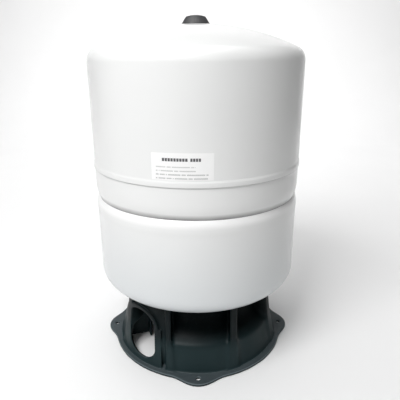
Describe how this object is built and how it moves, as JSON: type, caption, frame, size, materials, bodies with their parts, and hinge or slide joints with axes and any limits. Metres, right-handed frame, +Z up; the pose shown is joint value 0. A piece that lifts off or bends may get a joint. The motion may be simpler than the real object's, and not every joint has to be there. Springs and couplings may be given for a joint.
{
  "type": "expansion vessel",
  "caption": "Upright diaphragm expansion vessel: painted steel tank with domed ends, rolled groove, screw cap over the gas valve, on a ribbed plastic stand with bolt ears.",
  "frame": {"origin": "on the floor under the tank's axis, at the underside of the stand", "axes": "+Z up along the tank's axis, -Y towards the front with the label, +X to the right seen from the front"},
  "size_m": [0.3927, 0.3928, 0.6385],
  "materials": {
    "tank_paint": "glossy off-white powder coat on steel",
    "label_film": "satin white printed film",
    "stand_plastic": "satin moulded charcoal plastic",
    "cap_plastic": "satin dark grey plastic",
    "zinc_steel": "zinc plated",
    "stainless": "turned stainless steel",
    "valve_brass": "turned brass",
    "seal_rubber": "black rubber",
    "diaphragm_rubber": "butyl rubber",
    "liner_plastic": "natural polypropylene"
  },
  "bodies": {
    "vessel": {"upper_shell": "tank_paint", "lower_shell": "tank_paint", "seam_weld": "tank_paint", "label": "label_film", "base_stand": "stand_plastic", "base_studs": "zinc_steel", "base_washers": "zinc_steel", "base_nuts": "zinc_steel", "liner": "liner_plastic", "water_connection": "stainless", "connection_o_ring": "seal_rubber", "connection_weld": "stainless", "diaphragm_wall": "diaphragm_rubber", "diaphragm_rim": "diaphragm_rubber", "clench_ring": "zinc_steel", "valve_boss": "tank_paint", "boss_weld": "tank_paint", "air_valve_body": "valve_brass", "valve_gasket": "seal_rubber", "valve_nut": "valve_brass", "valve_core_barrel": "valve_brass", "valve_core_gasket": "seal_rubber", "valve_spring": "stainless"},
    "seal_ring": {"cap_seal": "seal_rubber"},
    "screw_cap": {"valve_cap": "cap_plastic"},
    "core_pin": {"valve_pin": "valve_brass", "valve_pin_seal": "seal_rubber"},
    "diaphragm": {"diaphragm_crown": "diaphragm_rubber"}
  },
  "joints": [
    {"name": "cap_lift", "type": "slide", "parent": "vessel", "child": "seal_ring", "axis": [0, 0, 1], "range_m": [0, 0.0121]},
    {"name": "cap_turn", "type": "hinge", "parent": "seal_ring", "child": "screw_cap", "pos_m": [0, 0, 0.631], "axis": [0, 0, 1], "range_deg": [0, 1440]},
    {"name": "pin_press", "type": "slide", "parent": "vessel", "child": "core_pin", "axis": [0, 0, -1], "range_m": [0, 0.0015], "stiffness_N_per_m": 800, "springref_m": -0.0015, "deforming": ["valve_spring"]},
    {"name": "diaphragm_rise", "type": "slide", "parent": "vessel", "child": "diaphragm", "axis": [0, 0, 1], "range_m": [0, 0.28], "deforming": ["diaphragm_wall"]}
  ],
  "couplings": [
    {"joint": "cap_lift", "follows": "cap_turn", "m_per_rad": 0.00047746}
  ]
}
